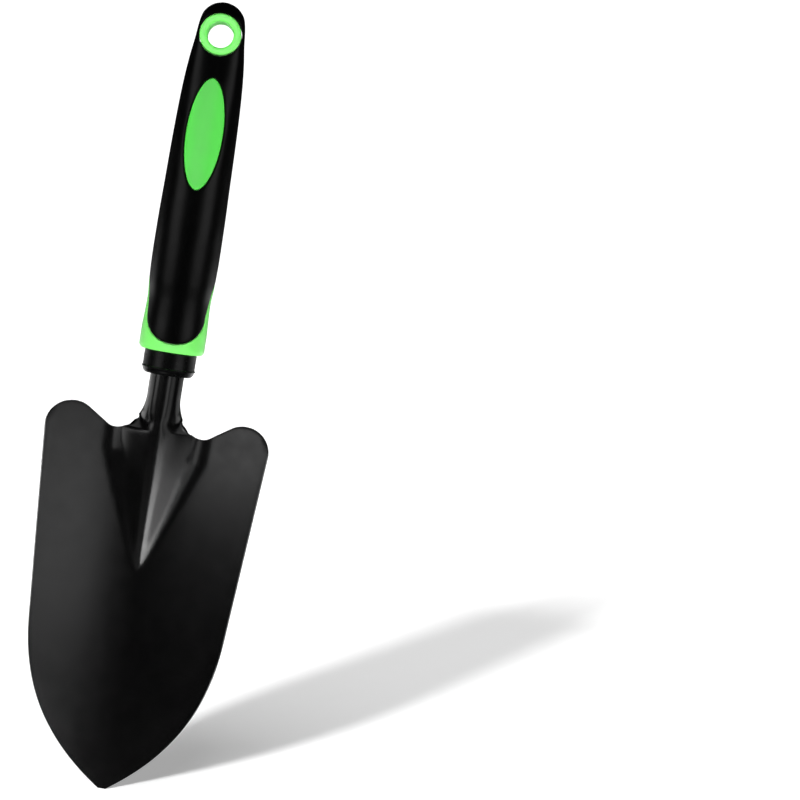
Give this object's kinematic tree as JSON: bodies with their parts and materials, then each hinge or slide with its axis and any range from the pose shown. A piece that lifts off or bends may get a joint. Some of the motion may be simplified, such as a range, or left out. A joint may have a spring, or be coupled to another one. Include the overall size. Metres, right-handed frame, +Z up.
{
  "type": "hand trowel",
  "caption": "Hand trowel with a dished, ribbed steel blade, a rolled neck and a soft-grip moulded handle that ends in a hanging hole.",
  "frame": {"origin": "middle of the hanging hole, on the hole's axis and halfway through the handle", "axes": "+Z up the handle, away from the blade; -Y is the scoop side, which faces the user; +X to the right seen from the scoop side"},
  "size_m": [0.093, 0.0277, 0.3301],
  "materials": {
    "coated_steel": "satin black powder coat on 1.8 mm carbon steel",
    "green_plastic": "bright green moulded polypropylene",
    "soft_grip": "satin black thermoplastic rubber",
    "sleeve_plastic": "satin black moulded plastic",
    "pin_steel": "plain steel"
  },
  "bodies": {
    "root": {"blade": "coated_steel", "neck_sleeve": "sleeve_plastic", "handle_core": "green_plastic", "grip_overmould": "soft_grip", "tang_pin": "pin_steel"}
  },
  "joints": []
}
